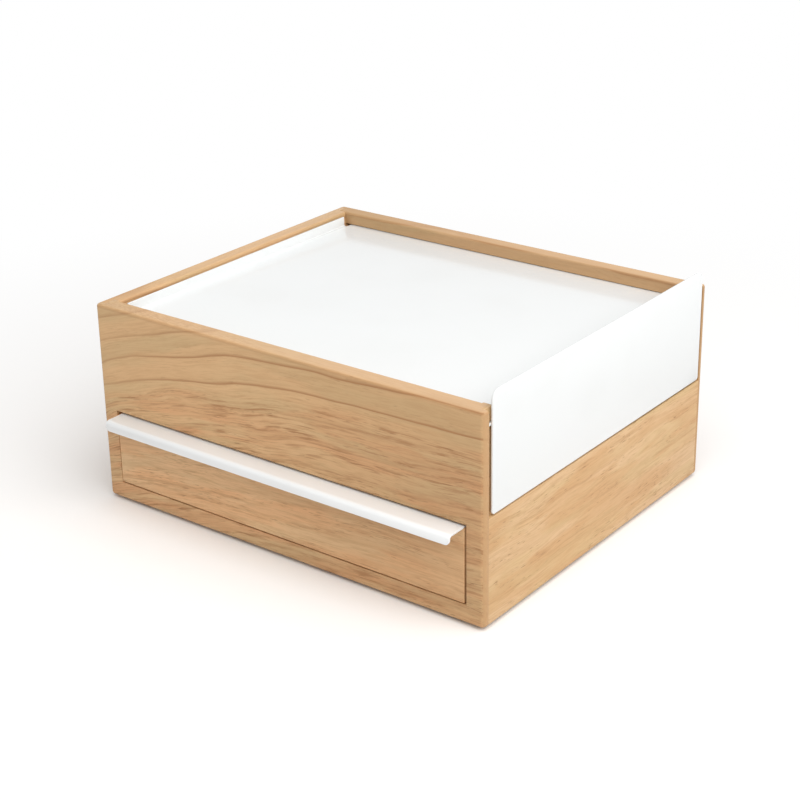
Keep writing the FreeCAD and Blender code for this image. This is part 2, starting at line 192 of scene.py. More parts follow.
class Shader:
    """One material under construction, with its Principled surface."""

    def __init__(self, name: str) -> None:
        """Start a material.

        Args:
            name: the finish's plain name.
        """
        self.material = bpy.data.materials.new(name)
        self.material.use_nodes = True
        self.tree = self.material.node_tree
        self.tree.nodes.clear()
        self.surface = self.node("ShaderNodeBsdfPrincipled")
        output = self.node("ShaderNodeOutputMaterial")
        self.tree.links.new(self.surface.outputs[0], output.inputs["Surface"])

    def node(self, kind: str, settings: dict | None = None, inputs: dict | None = None) -> bpy.types.Node:
        """Add any node.

        Args:
            kind: the node's type.
            settings: its properties, set first.
            inputs: values, signals or sockets for its inputs, by name or number.

        Returns:
            The new node.
        """
        node = self.tree.nodes.new(kind)
        for name, setting in (settings or {}).items():
            setattr(node, name, setting)
        for key, value in (inputs or {}).items():
            self.feed(node.inputs[key], value)
        return node

    def feed(self, socket: bpy.types.NodeSocket, value: object) -> None:
        """Give an input its value or link.

        Args:
            socket: the input.
            value: a number, colour, signal or output socket.
        """
        if isinstance(value, Signal):
            value = value.socket
        if isinstance(value, bpy.types.NodeSocket):
            self.tree.links.new(value, socket)
        elif isinstance(value, tuple) and len(value) == 3 and socket.type == "RGBA":
            socket.default_value = (*value, 1.0)
        else:
            socket.default_value = value

    def axes(self) -> tuple[Signal, Signal, Signal]:
        """The surface point in the object's frame.

        Returns:
            X, Y and Z in millimetres.
        """
        place = self.node("ShaderNodeTexCoord")
        parts = self.node("ShaderNodeSeparateXYZ", inputs={0: place.outputs["Object"]})
        x, y, z = (Signal(self, parts.outputs[index]) * (1 / MM) for index in range(3))
        return x, y, z

    def cloth_axes(self) -> tuple[Signal, Signal]:
        """The surface point on a cloth's own UV map.

        Returns:
            Places along and across the cloth in millimetres.
        """
        place = self.node("ShaderNodeUVMap", {"uv_map": CLOTH_MAP})
        parts = self.node("ShaderNodeSeparateXYZ", inputs={0: place.outputs["UV"]})
        return Signal(self, parts.outputs[0]) * (1 / MM), Signal(self, parts.outputs[1]) * (1 / MM)

    def noise(self, pattern: Pattern, place: Place, seed: float = 0.0) -> Signal:
        """The noise of a pattern.

        Args:
            pattern: how it is drawn out.
            place: where to read it, in millimetres.
            seed: shift along the first axis.

        Returns:
            The noise, which strays about 0.5.
        """
        x, y, z = (value * rate for value, rate in zip(place, pattern.rates))
        vector = self.node("ShaderNodeCombineXYZ", inputs={0: x + seed, 1: y, 2: z + pattern.offset})
        node = self.node(
            "ShaderNodeTexNoise",
            {"noise_dimensions": "3D"},
            {"Vector": vector.outputs[0], "Scale": 1.0, "Detail": pattern.layers,
             "Roughness": pattern.harshness},
        )
        return Signal(self, node.outputs[0])

    def marks(self, pattern: Pattern, place: Place, seed: float = 0.0) -> Signal:
        """The marks of a pattern, from 0 to 1."""
        return self.noise(pattern, place, seed).between(*pattern.span)

    def random(self, number: Signal) -> Signal:
        """An unrelated number from 0 to 1 for each whole number."""
        node = self.node("ShaderNodeTexWhiteNoise", {"noise_dimensions": "1D"}, {"W": number})
        return Signal(self, node.outputs["Value"])

    def mix(self, factor: Number, first: object, second: object) -> bpy.types.NodeSocket:
        """Blend two colours.

        Args:
            factor: 0 for the first colour, 1 for the second.
            first: a colour or colour socket.
            second: a colour or colour socket.

        Returns:
            The blended colour.
        """
        node = self.node("ShaderNodeMix", {"data_type": "RGBA"}, {0: factor, 6: first, 7: second})
        return node.outputs[2]

    def bump(self, height: Signal, relief: float) -> None:
        """Raise the surface by a height signal.

        Args:
            height: 0 to 1 over the surface.
            relief: millimetres that the surface rises for a signal of 1.
        """
        node = self.node(
            "ShaderNodeBump", inputs={"Height": height, "Distance": relief * MM, "Strength": 1.0})
        self.tree.links.new(node.outputs[0], self.surface.inputs["Normal"])

    def set(self, **values: object) -> None:
        """Feed the Principled surface. An underscore in a name stands for a space."""
        for name, value in values.items():
            self.feed(self.surface.inputs[name.replace("_", " ")], value)


# ---------------------------------------------------------------- finishes
SEED_STRIDE = 3.1                # keeps the fine patterns of two boards farther apart than the slow ones
NOISE_MIDDLE = 0.5
NOISE_REACH = 0.15               # how far a noise mostly strays from its middle


class Grain(Enum):
    """The axis that a board's grain follows."""

    ALONG_X = "x"
    ALONG_Y = "y"


def grain_axes(shader: Shader, grain: Grain) -> tuple[Signal, Signal, Signal]:
    """The surface point along the grain, level across it and upwards, in millimetres."""
    x, y, z = shader.axes()
    return (x, y, z) if grain is Grain.ALONG_X else (y, x, z)


@dataclass(frozen=True)
class WoodFinish:
    """Lacquered light hardwood: growth lines, streaks, fibres, dark pores and a flush of red."""

    name: str
    grain: Grain = Grain.ALONG_X
    face: float = -101.1                 # where the board's outer face lies across its thickness
    seed: float = 0.0

    pale: Colour = (0.71, 0.455, 0.235)
    grey: Colour = (0.64, 0.435, 0.225)
    flush: Colour = (0.69, 0.385, 0.190)
    deep: Colour = (0.42, 0.215, 0.092)
    pore: Colour = (0.27, 0.130, 0.052)
    end_grain: Colour = (0.54, 0.325, 0.160)
    edge_grain: Colour = (0.74, 0.495, 0.285)

    climb: float = 0.0                   # millimetres that the grain climbs along the board
    climb_from: float = -125.0
    climb_length: float = 85.0
    wander: float = 1.5                  # millimetres that the grain strays up and down
    quiver: float = 0.4                  # millimetres that it strays over a short stretch
    tilt: float = 0.25                   # millimetres that it rises for each one into the board
    calm: Span = (57.0, 66.0)            # rise over which the streaks fade and the lines gain strength

    line_spacing: float = 13.4           # millimetres between growth lines
    line_origin: float = 94.3            # height of one growth line where the climb starts
    line_strength: float = 0.80
    line_start: Span = (0.84, 0.95)      # share of the spacing over which a line darkens
    line_stop: Span = (0.955, 0.985)     # share of the spacing over which it ends
    line_variety: Span = (0.65, 1.0)     # strength of the weakest line and of the strongest
    line_calm: Span = (0.2, 1.0)         # strength below the calm heights and above them
    line_waking: Span = (-130.0, -50.0)  # stretch along the board over which the lines gain strength
    line_awake: Span = (0.5, 1.0)        # strength before that stretch and after it
    body_strength: float = 0.14          # share of the deep colour that builds up towards a line

    ripening: float = 0.0                # share of the deep colour that builds up along the board
    ripe_stretch: Span = (-40.0, 110.0)  # stretch over which it does so
    streak_strength: float = 0.75
    streak_calm: Span = (1.0, 0.15)      # strength below the calm heights and above them
    streak_crowd: Span = (0.6, 1.0)      # strength where streaks are sparse and where they crowd
    fibre_strength: float = 0.28
    fibre_streak: Span = (0.5, 1.0)      # strength where streaks are weak and where they are strong
    pore_strength: float = 0.50
    pore_calm: Span = (1.0, 0.45)        # strength below the calm heights and above them
    pore_crowd: Span = (0.40, 0.62)      # crowding over which the pores appear

    painted_edge_shade: float = 0.0                 # share of the deep colour painted as shade on the rounding under the rim
    rounding: Span = (113.6, 114.8)      # heights over which that rounding begins
    rim: Span = (115.4, 116.0)           # heights over which the paler edge grain begins
    rim_waking: Span = (-130.0, 40.0)    # stretch along the board over which the edge grain pales
    rim_strength: Span = (0.2, 0.65)     # its strength before that stretch and after it
    ends: Span = (126.2, 126.6)          # distances from the middle over which the end grain begins
    end_strength: float = 0.8

    sway_pattern: Pattern = Pattern((0.010, 0.02, 0.025), layers=1.0)
    quiver_pattern: Pattern = Pattern((0.030, 0.05, 0.08), layers=1.0)
    tone_pattern: Pattern = Pattern((0.012, 0.05, 0.075), (0.42, 0.60))
    blush_pattern: Pattern = Pattern((0.016, 0.06, 0.11), (0.42, 0.60))
    streak_pattern: Pattern = Pattern((0.05, 0.5, 0.75), (0.50, 0.66), harshness=0.65)
    fibre_pattern: Pattern = Pattern((0.07, 1.2, 1.2), (0.40, 0.64), harshness=0.7)
    pore_pattern: Pattern = Pattern((0.16, 2.0, 1.7), (0.61, 0.70), layers=1.0)
    crowd_pattern: Pattern = Pattern((0.02, 0.15, 0.16), (0.38, 0.60), layers=2.0)

    roughness: float = 0.42              # where neither fibres nor pores add to it
    fibre_roughness: float = 0.2
    pore_roughness: float = 0.15
    refraction: float = 1.45
    shine: float = 0.35
    fibre_height: float = 0.35           # share of the relief that a fibre rises
    relief: float = 0.05                 # millimetres that a pore sinks

    def rise(self, shader: Shader, along: Signal, depth: Signal, height: Signal) -> Signal:
        """Where a point lies among the grain's layers.

        It is the point's height less the climb of the grain, which nears its full value
        exponentially, plus the wander and the tilt.

        Args:
            shader: the material under construction.
            along: place along the grain, in millimetres.
            depth: place across the board.
            height: place upwards.

        Returns:
            The rise in millimetres.
        """
        place = (along, depth, height)
        slow = shader.noise(self.sway_pattern, place, self.seed)
        quick = shader.noise(self.quiver_pattern, place, self.seed)
        climbed = 1.0 - ((along - self.climb_from) * (-1.0 / self.climb_length)).exponential()
        stray = (slow - NOISE_MIDDLE) * (self.wander / NOISE_REACH) + (
            quick - NOISE_MIDDLE) * (self.quiver / NOISE_REACH)
        return height - climbed * self.climb + stray + (depth - self.face) * self.tilt

    def growth(self, shader: Shader, along: Signal, rise: Signal, calm: Signal) -> Signal:
        """Share of the deep colour that growth leaves: lines, the body between them and ripening.

        The lines lie at even steps of the rise, with a slow start and a sharp end. The body
        follows the square of the way to the next line.

        Args:
            shader: the material under construction.
            along: place along the grain, in millimetres.
            rise: place among the grain's layers.
            calm: 0 below the calm heights, 1 above them.

        Returns:
            The share.
        """
        steps = (self.line_origin - rise) / self.line_spacing
        phase = steps.fraction()
        variety = shader.random(steps.whole() + self.seed).spread(*self.line_variety)
        line = phase.between(*self.line_start) * (1.0 - phase.between(*self.line_stop)) * variety
        line = line * calm.spread(*self.line_calm)
        line = line * along.between(*self.line_waking).spread(*self.line_awake)
        body = (phase ** 2.0) * self.body_strength
        ripe = along.between(*self.ripe_stretch) * self.ripening
        return body + ripe + line * self.line_strength

    def material(self) -> bpy.types.Material:
        """The finish as a material.

        Growth lines, streaks, fibres and pores all follow the rise. The last three are noises
        drawn out along the grain. Above the calm heights the growth lines stand out; below them
        the streaks take over.

        Returns:
            The new material.
        """
        shader = Shader(self.name)
        along, depth, height = grain_axes(shader, self.grain)
        rise = self.rise(shader, along, depth, height)
        place = (along, depth, rise)
        seed = self.seed * SEED_STRIDE
        calm = rise.between(*self.calm)
        crowd = shader.noise(self.crowd_pattern, place, seed)
        fibre = shader.noise(self.fibre_pattern, place, seed)
        lively = calm.spread(*self.streak_calm) * (
            crowd.between(*self.crowd_pattern.span).spread(*self.streak_crowd))
        pore = shader.marks(self.pore_pattern, place, seed) * crowd.between(*self.pore_crowd)
        pore = pore * calm.spread(*self.pore_calm)
        rim = height.between(*self.rim)
        edge_shade_band = height.between(*self.rounding) * (1.0 - rim)

        colour = shader.mix(shader.marks(self.tone_pattern, place, seed), self.pale, self.grey)
        colour = shader.mix(shader.marks(self.blush_pattern, place, -seed) * lively, colour, self.flush)
        colour = shader.mix(self.growth(shader, along, rise, calm), colour, self.deep)
        streaks = shader.marks(self.streak_pattern, place, seed) * lively
        colour = shader.mix(streaks * self.streak_strength, colour, self.deep)
        # painted shade: the deep colour darkens the rounding just under the rim
        colour = shader.mix(edge_shade_band * self.painted_edge_shade, colour, self.deep)
        fibres = fibre.between(*self.fibre_pattern.span) * (lively.spread(*self.fibre_streak) + rim)
        colour = shader.mix(fibres * self.fibre_strength, colour, self.deep)
        colour = shader.mix(pore * self.pore_strength, colour, self.pore)
        colour = shader.mix(along.size().between(*self.ends) * self.end_strength, colour, self.end_grain)
        paling = along.between(*self.rim_waking).spread(*self.rim_strength)
        colour = shader.mix(rim * paling, colour, self.edge_grain)

        roughness = fibre * self.fibre_roughness + pore * self.pore_roughness + self.roughness
        shader.set(Base_Color=colour, Roughness=roughness)
        shader.set(IOR=self.refraction, Specular_IOR_Level=self.shine)
        shader.bump(fibre * self.fibre_height - pore, self.relief)
        return shader.material


@dataclass(frozen=True)
class PlyFinish:
    """Fine sanded plywood for the panels that stay out of sight."""

    name: str
    grain: Grain = Grain.ALONG_X
    pale: Colour = (0.62, 0.47, 0.30)
    deep: Colour = (0.46, 0.32, 0.18)
    cloud_pattern: Pattern = Pattern((0.012, 0.035, 0.6), (0.3, 0.7))
    cloud_strength: float = 0.6
    fibre_pattern: Pattern = Pattern((0.05, 1.1, 1.5), (0.4, 0.8), harshness=0.65)
    fibre_strength: float = 0.5
    plies: float = 0.7               # pairs of plies in a millimetre
    ply_change: Span = (0.35, 0.65)  # share of a pair over which one ply gives way to the next
    ply_strength: float = 0.15
    roughness: Span = (0.6, 0.75)
    relief: float = 0.06

    def material(self) -> bpy.types.Material:
        """The finish as a material: a cloudy veneer with fine fibres drawn out along the grain.

        Returns:
            The new material.
        """
        shader = Shader(self.name)
        place = grain_axes(shader, self.grain)
        fibre = shader.noise(self.fibre_pattern, place)
        ply = (place[2] * self.plies).fraction().between(*self.ply_change)
        cloud = shader.marks(self.cloud_pattern, place)
        colour = shader.mix(cloud * self.cloud_strength, self.pale, self.deep)
        fibres = fibre.between(*self.fibre_pattern.span)
        colour = shader.mix(fibres * self.fibre_strength, colour, self.deep)
        colour = shader.mix(ply * self.ply_strength, colour, self.deep)
        shader.set(Base_Color=colour, Roughness=fibre.spread(*self.roughness))
        shader.bump(fibre, self.relief)
        return shader.material


@dataclass(frozen=True)
class PaintFinish:
    """White powder coat on sheet metal, smooth enough to mirror what stands next to it."""

    name: str
    colour: Colour = (0.855, 0.875, 0.88)
    dust: Colour = (0.81, 0.825, 0.82)
    dust_strength: float = 0.35
    cloud_pattern: Pattern = Pattern((0.02, 0.02, 0.03), (0.45, 0.8), layers=2.0)
    pebble_pattern: Pattern = Pattern((0.9, 0.9, 0.9), layers=1.0)
    roughness: float = 0.09          # where neither cloud nor pebbles add to it
    cloud_roughness: float = 0.08
    pebble_roughness: float = 0.05
    refraction: float = 1.5
    shine: float = 0.38
    relief: float = 0.006            # millimetres that a pebble rises

    def material(self) -> bpy.types.Material:
        """The finish as a material: an even coat, faintly clouded and pebbled.

        Returns:
            The new material.
        """
        shader = Shader(self.name)
        place = shader.axes()
        pebble = shader.noise(self.pebble_pattern, place)
        cloud = shader.noise(self.cloud_pattern, place)
        dusty = cloud.between(*self.cloud_pattern.span) * self.dust_strength
        roughness = cloud * self.cloud_roughness + pebble * self.pebble_roughness + self.roughness
        shader.set(Base_Color=shader.mix(dusty, self.colour, self.dust), Roughness=roughness)
        shader.set(IOR=self.refraction, Specular_IOR_Level=self.shine)
        shader.bump(pebble, self.relief)
        return shader.material


@dataclass(frozen=True)
class LinenFinish:
    """Natural linen: plain weave with slubs, drawn on the cloth's own map."""

    name: str
    seed: float = 0.0
    pale: Colour = (0.60, 0.54, 0.44)
    deep: Colour = (0.36, 0.31, 0.235)
    thread: float = 0.62             # millimetres from one thread to the next
    sway: float = 1.2                # millimetres that a thread strays to one side
    crossing: Span = (-0.25, 0.25)   # product of the two waves over which the upper threads change
    roundness: float = 1.4
    sway_warp: Pattern = Pattern((0.05, 0.08, 1.0), layers=1.0)
    sway_weft: Pattern = Pattern((0.08, 0.05, 1.0), layers=1.0, offset=7.0)
    slub_warp: Pattern = Pattern((1.4, 0.05, 1.0), layers=2.0, harshness=0.6, offset=3.0)
    slub_weft: Pattern = Pattern((0.05, 1.4, 1.0), layers=2.0, harshness=0.6, offset=5.0)
    slub_span: Span = (0.36, 0.68)
    weave_shade_span: Span = (0.45, 1.0)       # depth between threads over which painted shade darkens the cloth
    weave_shade_strength: float = 0.55
    cloud_pattern: Pattern = Pattern((0.03, 0.03, 1.0), (0.4, 0.8), layers=2.0)
    cloud_strength: float = 0.18
    roughness: float = 0.92
    fuzz: float = 0.25
    fuzz_roughness: float = 0.5
    weave_height: float = 0.8
    slub_height: float = 0.4
    relief: float = 0.16             # millimetres that a height of 1 rises

    def material(self) -> bpy.types.Material:
        """The finish as a material.

        Each set of threads is a rounded ridge: 1 less a power of the size of a sine across it.
        A checker of the two sets says which one lies on top, and long noises make some threads
        thicker and darker.

        Returns:
            The new material.
        """
        shader = Shader(self.name)
        u, v = shader.cloth_axes()
        place = (u, v, self.seed)
        turn = math.pi / self.thread
        warp = ((u + shader.noise(self.sway_warp, place) * self.sway) * turn).wave()
        weft = ((v + shader.noise(self.sway_weft, place) * self.sway) * turn).wave()
        over = (warp * weft).between(*self.crossing)
        under = 1.0 - over
        weave = (1.0 - warp.size() ** self.roundness) * over + (1.0 - weft.size() ** self.roundness) * under
        slub = shader.noise(self.slub_warp, place) * over + shader.noise(self.slub_weft, place) * under
        colour = shader.mix(slub.between(*self.slub_span), self.pale, self.deep)
        # painted shade darkens the hollows between the threads
        weave_shade = (1.0 - weave).between(*self.weave_shade_span)
        colour = shader.mix(weave_shade * self.weave_shade_strength, colour, self.deep)
        clouds = shader.marks(self.cloud_pattern, place)
        colour = shader.mix(clouds * self.cloud_strength, colour, self.deep)
        shader.set(Base_Color=colour, Roughness=self.roughness)
        shader.set(Sheen_Weight=self.fuzz, Sheen_Roughness=self.fuzz_roughness)
        shader.bump(weave * self.weave_height + slub * self.slub_height, self.relief)
        return shader.material


@dataclass(frozen=True)
class GrainyFinish:
    """One clouded colour with a fine relief, for moulded rubber and for plated screws."""

    name: str
    colour: Colour
    stain: Colour
    pattern: Pattern
    roughness: Span
    relief: float                    # millimetres that the cloud rises
    metallic: float = 0.0
    stain_strength: float = 0.6

    def material(self) -> bpy.types.Material:
        """The finish as a material.

        Returns:
            The new material.
        """
        shader = Shader(self.name)
        cloud = shader.noise(self.pattern, shader.axes())
        stained = cloud.between(*self.pattern.span) * self.stain_strength
        shader.set(Base_Color=shader.mix(stained, self.colour, self.stain), Metallic=self.metallic)
        shader.set(Roughness=cloud.spread(*self.roughness))
        shader.bump(cloud, self.relief)
        return shader.material


def rubber(name: str) -> GrainyFinish:
    """Matt moulded rubber with a fine grain."""
    return GrainyFinish(
        name, (0.035, 0.035, 0.036), (0.085, 0.083, 0.08), Pattern((2.5, 2.5, 2.5), (0.4, 0.8), layers=2.0),
        roughness=(0.68, 0.83), relief=0.03)


def zinc_plating(name: str) -> GrainyFinish:
    """Bright zinc plating on small steel screws."""
    return GrainyFinish(
        name, (0.62, 0.62, 0.60), (0.46, 0.45, 0.42), Pattern((0.9, 0.9, 0.9), (0.35, 0.75)),
        roughness=(0.22, 0.42), relief=0.01, metallic=1.0)


# ---------------------------------------------------------------- mesh helpers
WELD = 0.5e-6                    # metres within which two points of a part are one
FLAT = math.radians(0.5)         # faces that turn by less than this are one
SHARP = math.radians(35)         # edges that turn by more than this are eased


def new_object(name: str, mesh: bpy.types.Mesh, material: bpy.types.Material) -> bpy.types.Object:
    """Link a finished mesh to the scene.

    Args:
        name: the piece's name.
        mesh: its mesh, in the shared frame.
        material: its finish.

    Returns:
        The new object, at the origin.
    """
    piece = bpy.data.objects.new(name, mesh)
    bpy.context.scene.collection.objects.link(piece)
    mesh.materials.clear()
    mesh.materials.append(material)
    return piece


def eased_copy(node: str, body: str, material: bpy.types.Material, width: float) -> None:
    """A rigid part again, with its sharp edges eased as sanding or paint leaves them.

    Args:
        node: the part's name.
        body: the body that it rides on.
        material: its finish.
        width: width of the eased edge in millimetres.
    """
    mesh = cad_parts[node].data.copy()
    shell = bmesh.new()
    shell.from_mesh(mesh)
    bmesh.ops.remove_doubles(shell, verts=shell.verts, dist=WELD)
    bmesh.ops.dissolve_limit(
        shell, angle_limit=FLAT, verts=shell.verts, edges=shell.edges, delimit=set())
    shell.to_mesh(mesh)
    shell.free()
    for layer in list(mesh.uv_layers):
        mesh.uv_layers.remove(layer)
    mesh.shade_smooth()
    piece = new_object(node + "_eased", mesh, material)
    bevel = piece.modifiers.new("eased_edges", "BEVEL")
    bevel.width = width * MM
    bevel.segments = 2
    bevel.limit_method = "ANGLE"
    bevel.angle_limit = SHARP
    bevel.harden_normals = True
    bevel.use_clamp_overlap = True
    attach(piece, body)
    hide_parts(node)
    log.info("%s: %s", body, piece.name)


def dress(node: str, material: bpy.types.Material) -> None:
    """Give a part that keeps its own mesh a better finish.

    Args:
        node: the part's name.
        material: its finish.
    """
    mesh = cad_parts[node].data
    mesh.materials.clear()
    mesh.materials.append(material)
    log.info("kept mesh: %s", node)


# ---------------------------------------------------------------- cloth pieces
def read_points(mesh: bpy.types.Mesh) -> np.ndarray:
    """Where a mesh's points are.

    Args:
        mesh: any mesh.

    Returns:
        The places, one row for each point.
    """
    places = np.empty(len(mesh.vertices) * 3)
    mesh.vertices.foreach_get("co", places)
    return places.reshape(-1, 3)


def mesh_arrays(mesh: bpy.types.Mesh) -> tuple[np.ndarray, np.ndarray]:
    """Where each face corner is and which way its face looks.

    Args:
        mesh: any mesh.

    Returns:
        The places and the unit normals, one row for each face corner.
    """
    used = np.empty(len(mesh.loops), dtype=np.int64)
    mesh.loops.foreach_get("vertex_index", used)
    normals = np.empty(len(mesh.polygons) * 3)
    mesh.polygons.foreach_get("normal", normals)
    totals = np.empty(len(mesh.polygons), dtype=np.int64)
    mesh.polygons.foreach_get("loop_total", totals)
    return read_points(mesh)[used], np.repeat(normals.reshape(-1, 3), totals, axis=0)


def set_cloth_map(mesh: bpy.types.Mesh, along: np.ndarray, across: np.ndarray) -> None:
    """Write the cloth's own map, in metres, for each face corner."""
    mesh.uv_layers.new(name=CLOTH_MAP).data.foreach_set("uv", np.stack([along, across], axis=1).ravel())


def tube_mesh(name: str, rings: np.ndarray) -> bpy.types.Mesh:
    """A closed surface through rings of points, with one face at each end.

    Args:
        name: the mesh's name.
        rings: stations by points by three, in metres. Seen from beyond the last station, each
            ring runs anticlockwise.

    Returns:
        The new mesh, with its faces outward.
    """
    stations, count, _ = rings.shape
    row = np.arange(stations - 1)[:, None] * count
    here = np.arange(count)[None, :]
    there = (here + 1) % count
    sides = np.stack([row + here, row + there, row + count + there, row + count + here], axis=-1)
    faces = sides.reshape(-1, 4).tolist()
    faces.append(list(range(count))[::-1])
    faces.append(list(range((stations - 1) * count, stations * count)))
    mesh = bpy.data.meshes.new(name)
    mesh.from_pydata(rings.reshape(-1, 3).tolist(), [], faces)
    mesh.shade_smooth()
    return mesh


def rounded_rectangles(
        half_u: np.ndarray, half_v: np.ndarray, radius: np.ndarray, arc: int = 5) -> np.ndarray:
    """Rectangles with round corners, one for each entry of the arrays.

    Each corner is a quarter circle about the point one radius inside both sides, so a point is
    the signed core half-size plus the radius times the cosine or sine of its angle.

    Args:
        half_u: half widths.
        half_v: half heights.
        radius: corner radii.
        arc: steps in a quarter circle.

    Returns:
        Rectangles by points by two, anticlockwise.
    """
    angle = (np.arange(4)[:, None] * math.pi / 2 + np.linspace(0, math.pi / 2, arc + 1)).ravel()
    side_u = np.repeat([1.0, -1.0, -1.0, 1.0], arc + 1)
    side_v = np.repeat([1.0, 1.0, -1.0, -1.0], arc + 1)
    u = side_u * (half_u - radius)[:, None] + radius[:, None] * np.cos(angle)
    v = side_v * (half_v - radius)[:, None] + radius[:, None] * np.sin(angle)
    return np.stack([u, v], axis=-1)


@dataclass
class CoveredCard:
    """A thin card wrapped in padded cloth, in the place of a plain solid."""

    node: str
    body: str
    thin: Axis                       # the axis of its thickness
    edge: float = 0.7                # millimetres of rounding over the edge
    crown: float = 0.18              # millimetres that the faces swell
    corner: float = 1.2              # millimetres of rounding at the card's corners
    face_rings: int = 7
    edge_rings: int = 5
    crowding: float = 1.6            # power by which the rings of a face crowd towards its edge
    hub: float = 0.5                 # millimetres from the innermost ring to the middle line
    least_corner: float = 0.2

    def profile(self, reach: float, half: float) -> tuple[np.ndarray, np.ndarray]:
        """Inset and height of the rings from the middle of the low face to that of the high one.

        Over the edge both follow a quarter circle. On a face the height falls from the crown by
        the cube of the share of the way back to the edge.

        Args:
            reach: inset at the middle, in millimetres.
            half: half of the thickness at the crown.

        Returns:
            The insets and the heights.
        """
        turn = np.linspace(0, math.pi / 2, self.edge_rings)
        edge_inset = self.edge * (1 - np.cos(turn))
        edge_height = half - self.crown - self.edge * (1 - np.sin(turn))
        way = np.linspace(0, 1, self.face_rings + 1)[1:] ** self.crowding
        face_inset = self.edge + (reach - self.edge) * way
        face_height = half - self.crown * (1 - way) ** 3
        inset = np.concatenate([edge_inset, face_inset])
        height = np.concatenate([edge_height, face_height])
        return np.concatenate([inset[::-1], inset[1:]]), np.concatenate([-height[::-1], height[1:]])

    def build(self, material: bpy.types.Material) -> None:
        """Make the card and set it on its body.

        Args:
            material: its cloth.
        """
        low, high = (np.array(corner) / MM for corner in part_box(self.node))
        centre, half = (low + high) / 2, (high - low) / 2
        axis = self.thin.value
        first, second = (axis + 1) % 3, (axis + 2) % 3
        reach = min(half[first], half[second]) - self.hub
        inset, height = self.profile(reach, half[axis])
        radius = np.maximum(self.corner - inset, self.least_corner)
        outline = rounded_rectangles(half[first] - inset, half[second] - inset, radius)
        rings = np.empty((*outline.shape[:2], 3))
        rings[..., first] = centre[first] + outline[..., 0]
        rings[..., second] = centre[second] + outline[..., 1]
        rings[..., axis] = (centre[axis] + height)[:, None]
        mesh = tube_mesh(self.node + "_linen", rings * MM)
        places, _ = mesh_arrays(mesh)
        set_cloth_map(mesh, places[:, first] + places[:, axis], places[:, second] + places[:, axis])
        piece = new_object(self.node + "_linen", mesh, material)
        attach(piece, self.body)
        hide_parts(self.node)
        log.info("%s: %s", self.body, piece.name)


NO_LENGTH = 1e-9                 # metres that count as no move at all


